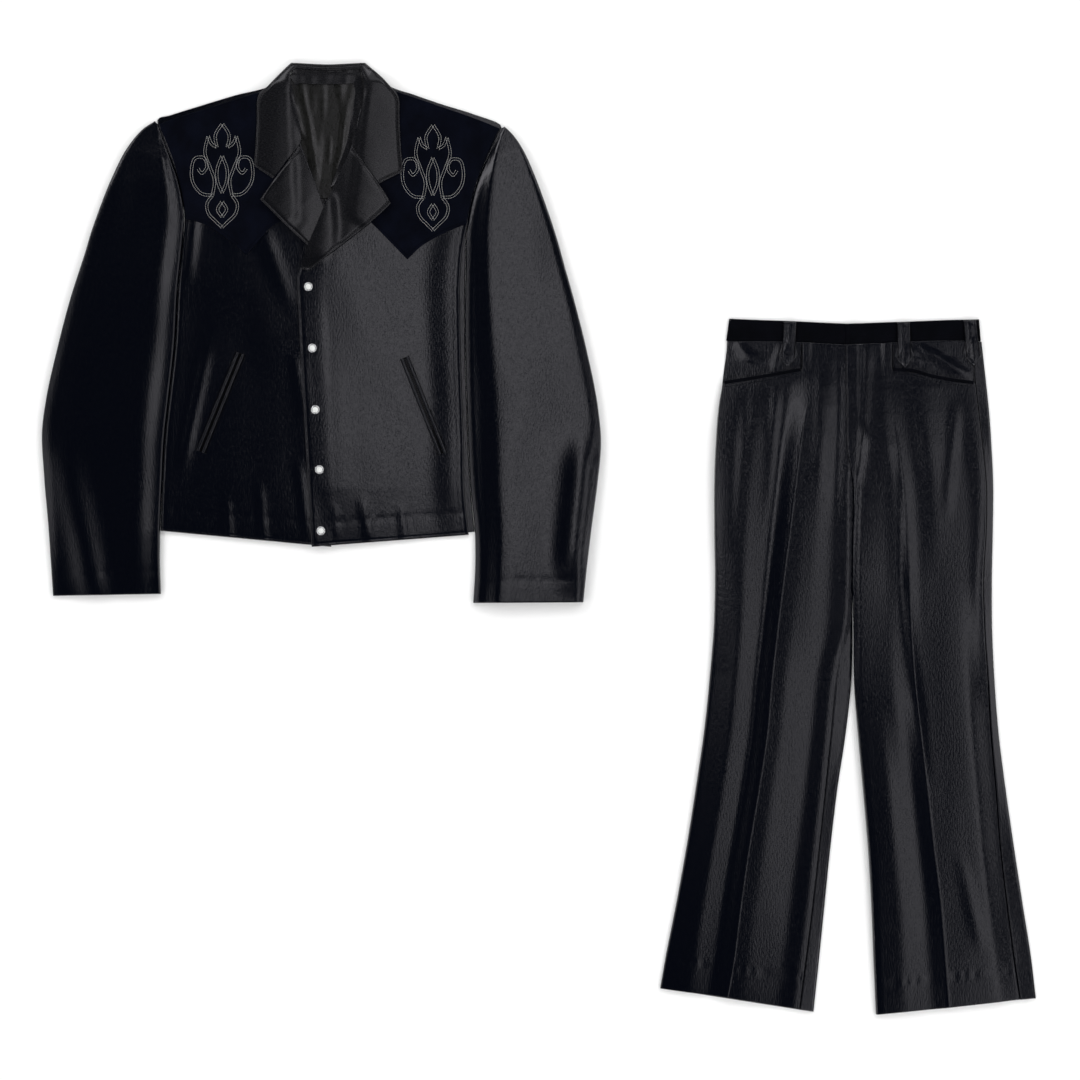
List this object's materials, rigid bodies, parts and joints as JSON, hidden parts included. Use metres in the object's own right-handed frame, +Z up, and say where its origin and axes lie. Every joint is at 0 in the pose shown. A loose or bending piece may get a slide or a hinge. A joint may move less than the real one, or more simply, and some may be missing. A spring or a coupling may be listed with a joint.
{
  "type": "western suit",
  "caption": "Black western suit laid flat: a snap-front jacket with pointed chest yokes, notched collar and slanted lipped pockets, beside flared trousers with pointed belt loops.",
  "frame": {"origin": "on the surface the suit lies on, below the middle of the box round both garments", "axes": "+Z up from the surface; +Y from the hems towards the collar and the waist; +X from the jacket towards the trousers, which is the wearer's left"},
  "size_m": [1.4904, 1.4264, 0.0146],
  "materials": {
    "satin_cloth": "black satin with a fine grain",
    "pile_cloth": "matt dark navy pile",
    "lining_cloth": "dark satin lining",
    "snap_pearl": "pearl",
    "snap_metal": "satin"
  },
  "bodies": {
    "root": {"jacket_back": "satin_cloth", "jacket_collar": "satin_cloth", "jacket_collar_stand": "satin_cloth", "jacket_front_l": "satin_cloth", "jacket_front_r": "satin_cloth", "jacket_lapel_l": "satin_cloth", "jacket_lapel_r": "satin_cloth", "jacket_lining": "lining_cloth", "jacket_pocket_l_lip_left": "satin_cloth", "jacket_pocket_l_lip_right": "satin_cloth", "jacket_pocket_r_lip_left": "satin_cloth", "jacket_pocket_r_lip_right": "satin_cloth", "jacket_sleeve_top_l": "satin_cloth", "jacket_sleeve_top_r": "satin_cloth", "jacket_sleeve_under_l": "satin_cloth", "jacket_sleeve_under_r": "satin_cloth", "jacket_snap_1_cap": "snap_pearl", "jacket_snap_1_ring": "snap_metal", "jacket_snap_2_cap": "snap_pearl", "jacket_snap_2_ring": "snap_metal", "jacket_snap_3_cap": "snap_pearl", "jacket_snap_3_ring": "snap_metal", "jacket_snap_4_cap": "snap_pearl", "jacket_snap_4_ring": "snap_metal", "jacket_snap_5_cap": "snap_pearl", "jacket_snap_5_ring": "snap_metal", "jacket_yoke_l": "pile_cloth", "jacket_yoke_r": "pile_cloth", "trouser_back_l": "satin_cloth", "trouser_back_r": "satin_cloth", "trouser_facing_l": "satin_cloth", "trouser_facing_r": "satin_cloth", "trouser_front_l": "satin_cloth", "trouser_front_r": "satin_cloth", "trouser_loop_1": "satin_cloth", "trouser_loop_2": "satin_cloth", "trouser_loop_3": "satin_cloth", "trouser_mouth_l": "satin_cloth", "trouser_mouth_r": "satin_cloth", "trouser_waistband_back": "pile_cloth", "trouser_waistband_l": "pile_cloth", "trouser_waistband_r": "pile_cloth"}
  },
  "joints": []
}
